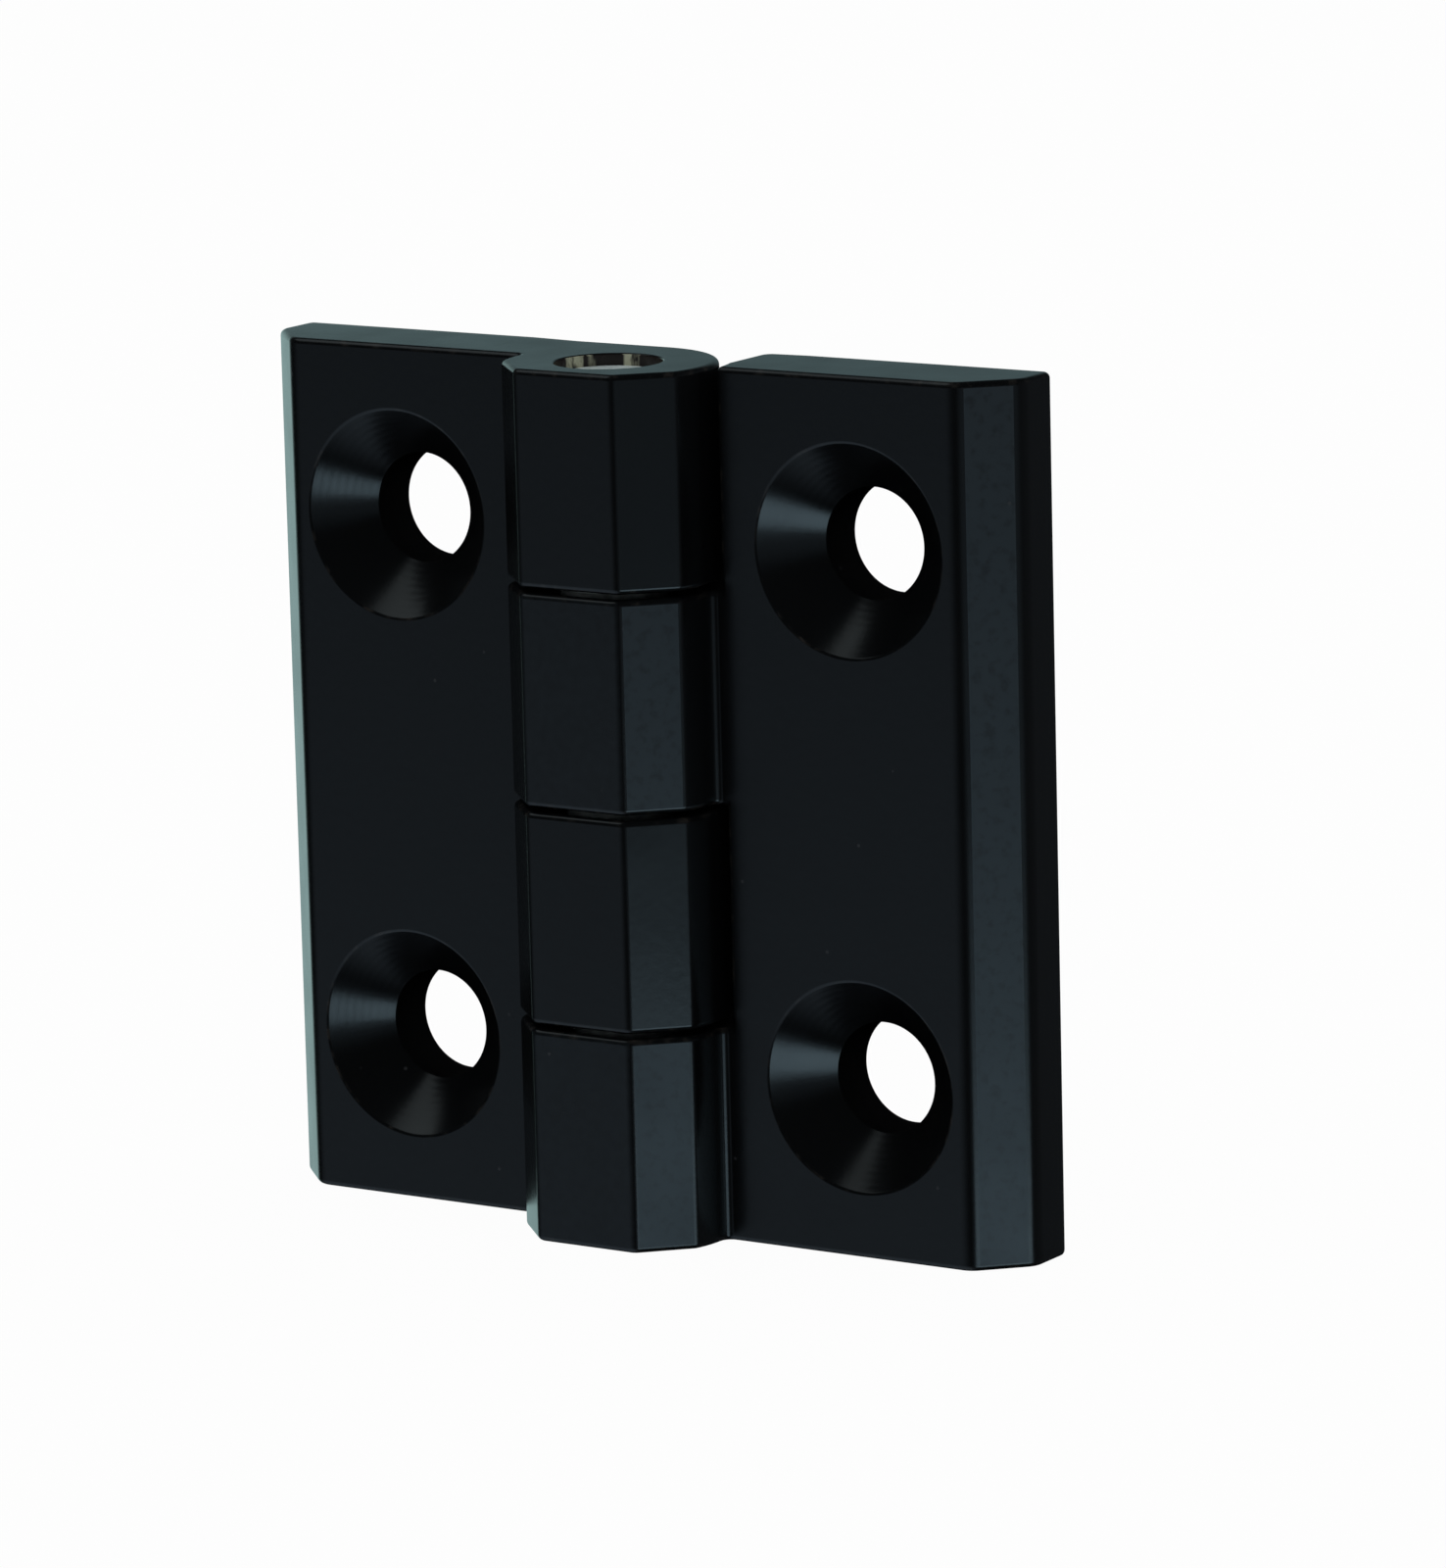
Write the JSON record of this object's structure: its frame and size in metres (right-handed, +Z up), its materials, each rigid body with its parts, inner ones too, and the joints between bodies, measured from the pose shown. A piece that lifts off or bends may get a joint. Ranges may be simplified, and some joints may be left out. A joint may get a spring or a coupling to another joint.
{
  "type": "bearing hinge",
  "caption": "Black cast hinge with flat leaves whose interlocking knuckles turn on a steel pin; countersunk holes take its screws.",
  "frame": {"origin": "under the middle of the hinge, at its lower end and halfway through its depth", "axes": "+Z up along the pin, +Y towards the surfaces that the leaves are screwed to, +X along the right leaf"},
  "size_m": [0.05, 0.0112, 0.05],
  "materials": {
    "black_coating": "satin black powder coat over a zinc casting",
    "pin_steel": "bright ground steel"
  },
  "bodies": {
    "left_side": {"left_leaf": "black_coating", "hinge_pin": "pin_steel"},
    "right_side": {"right_leaf": "black_coating"}
  },
  "joints": [
    {"name": "leaf_swing", "type": "hinge", "parent": "left_side", "child": "right_side", "pos_m": [0, -0.0009, 0.025], "axis": [0, 0, -1], "range_deg": [-90, 180]}
  ]
}
